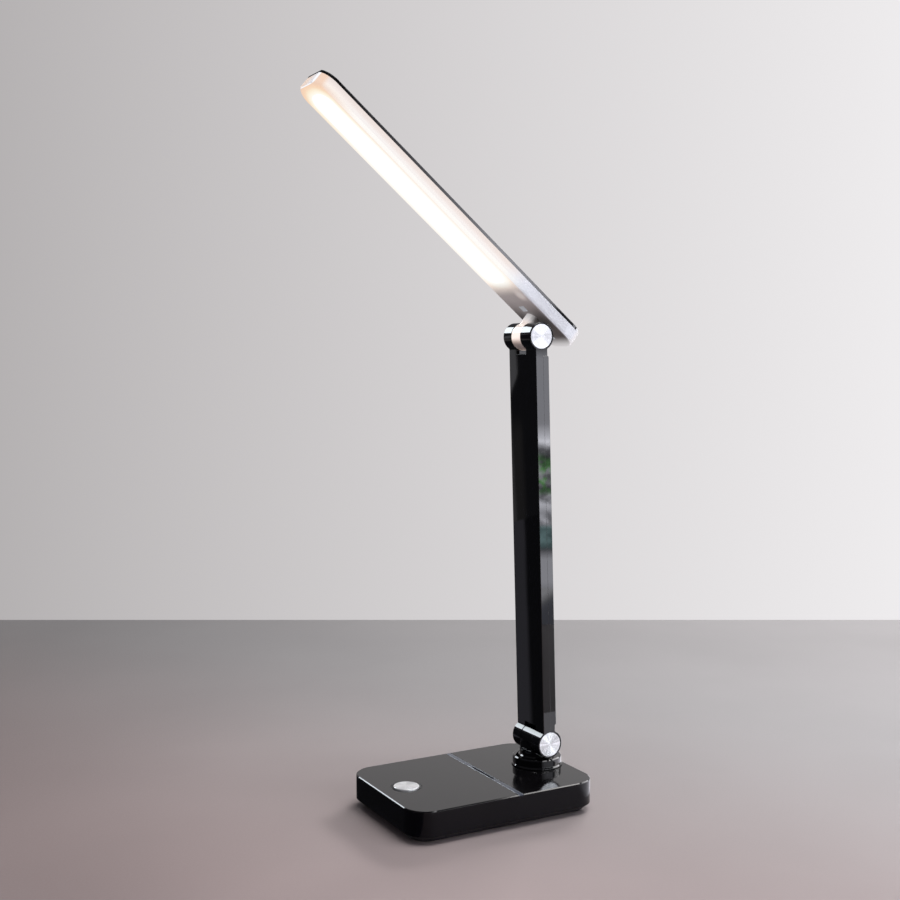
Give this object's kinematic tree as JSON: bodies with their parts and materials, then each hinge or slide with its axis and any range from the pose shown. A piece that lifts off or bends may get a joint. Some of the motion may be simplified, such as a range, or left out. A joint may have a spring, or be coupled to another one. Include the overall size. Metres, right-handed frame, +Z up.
{
  "type": "folding desk lamp",
  "caption": "Folding LED desk lamp: grey-topped black base with a push button, turning post, flat black arm and a lit milky head, both hinged.",
  "frame": {"origin": "on the desk, under the middle of the base", "axes": "+X along the base from the button end to the post end, +Y across the lamp, +Z up; the head reaches towards -X"},
  "size_m": [0.1972, 0.1, 0.4806],
  "materials": {
    "black_gloss": "polished black plastic",
    "dark_plastic": "dark, satin",
    "milky_plastic": "milky, lets light through",
    "white_plastic": "white, matt",
    "spun_metal": "turned face with fine radial sheen",
    "steel": "plain machined",
    "nickel": "bright plated",
    "rubber": "matt",
    "slippery_plastic": "smooth, natural",
    "board_green": "lacquered board",
    "board_white": "white lacquer on metal",
    "led_yellow": "clear over yellow",
    "cell_wrap": "silver-grey wrap",
    "wire_black": "flexible sheath"
  },
  "bodies": {
    "base": {"base_housing": "black_gloss", "divider_strip": "black_gloss", "base_bottom_cover": "black_gloss", "anti_slip_pad": "rubber", "base_screws": "steel", "ballast_plate": "steel", "battery_pack": "cell_wrap", "main_circuit_board": "board_green", "port_board": "board_green", "board_screws": "steel", "charging_socket": "nickel", "tactile_switch": "dark_plastic", "button_bezel": "black_gloss", "swivel_bush": "slippery_plastic"},
    "button": {"power_button": "spun_metal", "button_plunger": "dark_plastic"},
    "turntable": {"turntable_post": "black_gloss", "glide_washer": "slippery_plastic", "swivel_tube": "steel", "swivel_washer": "steel", "swivel_nut": "steel"},
    "arm": {"arm_front_shell": "black_gloss", "arm_rear_cover": "black_gloss", "arm_wire_lead": "wire_black", "lower_hinge_pin": "steel", "lower_hinge_nut": "steel", "lower_hinge_spring_washers": "steel", "lower_hinge_friction_discs": "dark_plastic", "lower_hinge_caps": "spun_metal", "upper_hinge_pin": "steel", "upper_hinge_nut": "steel", "upper_hinge_spring_washers": "steel", "upper_hinge_friction_discs": "dark_plastic", "upper_hinge_caps": "spun_metal"},
    "head": {"head_diffuser": "milky_plastic", "head_top_cover": "black_gloss", "head_tongue": "milky_plastic", "tongue_screws": "steel", "tongue_screw_plugs": "white_plastic", "reflector": "white_plastic", "led_board": "board_white", "led_chips": "led_yellow", "light_screws": "steel"}
  },
  "joints": [
    {"name": "base_swivel", "type": "hinge", "parent": "base", "child": "turntable", "pos_m": [0.052, 0, 0.022], "axis": [0, 0, 1], "range_deg": [-90, 90]},
    {"name": "arm_fold", "type": "hinge", "parent": "turntable", "child": "arm", "pos_m": [0.052, 0, 0.0397], "axis": [0, -1, 0], "range_deg": [-16.75, 81.25]},
    {"name": "head_fold", "type": "hinge", "parent": "arm", "child": "head", "pos_m": [0.04342, 0, 0.32057], "axis": [0, -1, 0], "range_deg": [-48.4, 131.5]},
    {"name": "button_press", "type": "slide", "parent": "base", "child": "button", "axis": [0, 0, -1], "range_m": [0, 0.0005], "stiffness_N_per_m": 5000}
  ]
}
